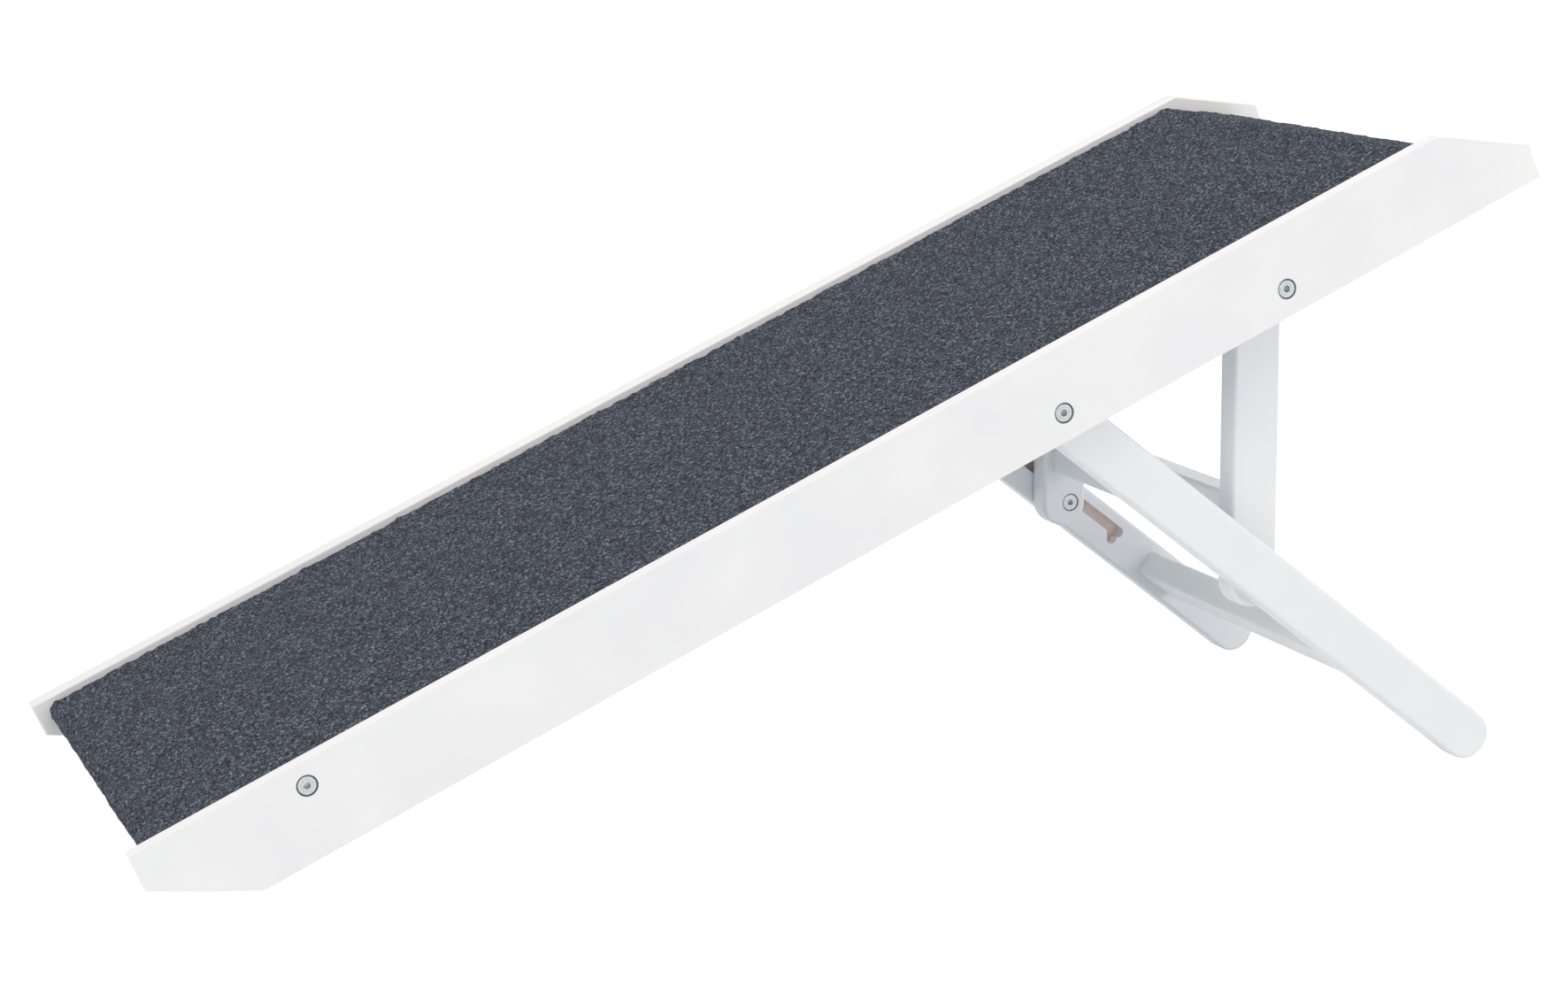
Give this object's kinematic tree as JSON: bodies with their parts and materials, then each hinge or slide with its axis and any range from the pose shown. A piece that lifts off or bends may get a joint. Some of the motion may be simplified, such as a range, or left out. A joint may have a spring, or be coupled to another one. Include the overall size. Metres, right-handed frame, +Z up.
{
  "type": "folding pet ramp",
  "caption": "Pet ramp with carpeted deck between white side boards, on a folding leg frame that a notched strut frame holds at a set height.",
  "frame": {"origin": "middle of the ramp's footprint box, on the floor", "axes": "+X up the slope along the floor, +Y across the ramp to the left side board when walking up, +Z up"},
  "size_m": [0.8386, 0.336, 0.3813],
  "materials": {
    "white_lacquer": "satin white lacquer on fibreboard",
    "carpet": "charcoal short-pile carpet",
    "bare_board": "bare fibreboard",
    "beech": "plain beech",
    "zinc_steel": "zinc plated",
    "nylon": "plain nylon"
  },
  "bodies": {
    "ramp": {"side_board_right": "white_lacquer", "side_board_left": "white_lacquer", "deck_panel": "bare_board", "landing_panel": "bare_board", "carpet": "carpet", "deck_bolt_right": "zinc_steel", "deck_bolt_left": "zinc_steel", "deck_barrel_nuts": "zinc_steel", "deck_dowels": "beech", "landing_dowels": "beech", "leg_pivot_sleeve_right": "zinc_steel", "leg_pivot_sleeve_left": "zinc_steel", "leg_pivot_screw_right": "zinc_steel", "leg_pivot_screw_left": "zinc_steel", "leg_washer_right": "nylon", "leg_washer_left": "nylon", "strut_pivot_sleeve_right": "zinc_steel", "strut_pivot_sleeve_left": "zinc_steel", "strut_pivot_screw_right": "zinc_steel", "strut_pivot_screw_left": "zinc_steel", "strut_spacer_right": "nylon", "strut_spacer_left": "nylon", "strut_washer_right": "nylon", "strut_washer_left": "nylon"},
    "leg_frame": {"leg_right": "white_lacquer", "leg_left": "white_lacquer", "leg_cross_board": "white_lacquer", "leg_board_dowels": "beech"},
    "strut_frame": {"strut_right": "white_lacquer", "strut_left": "white_lacquer", "strut_cross_board": "white_lacquer", "strut_board_dowels": "beech", "guide_bolt_right": "zinc_steel", "guide_bolt_left": "zinc_steel"}
  },
  "joints": [
    {"name": "leg_fold", "type": "hinge", "parent": "ramp", "child": "leg_frame", "pos_m": [0.11194, 0, 0.23096], "axis": [0, 1, 0], "range_deg": [0, 118.07]},
    {"name": "strut_fold", "type": "hinge", "parent": "ramp", "child": "strut_frame", "pos_m": [0.25209, 0, 0.29598], "axis": [0, 1, 0], "range_deg": [0, 66.36]}
  ],
  "couplings": [
    {"joint": "strut_fold", "follows": "leg_fold", "ratio": 0.56203}
  ]
}
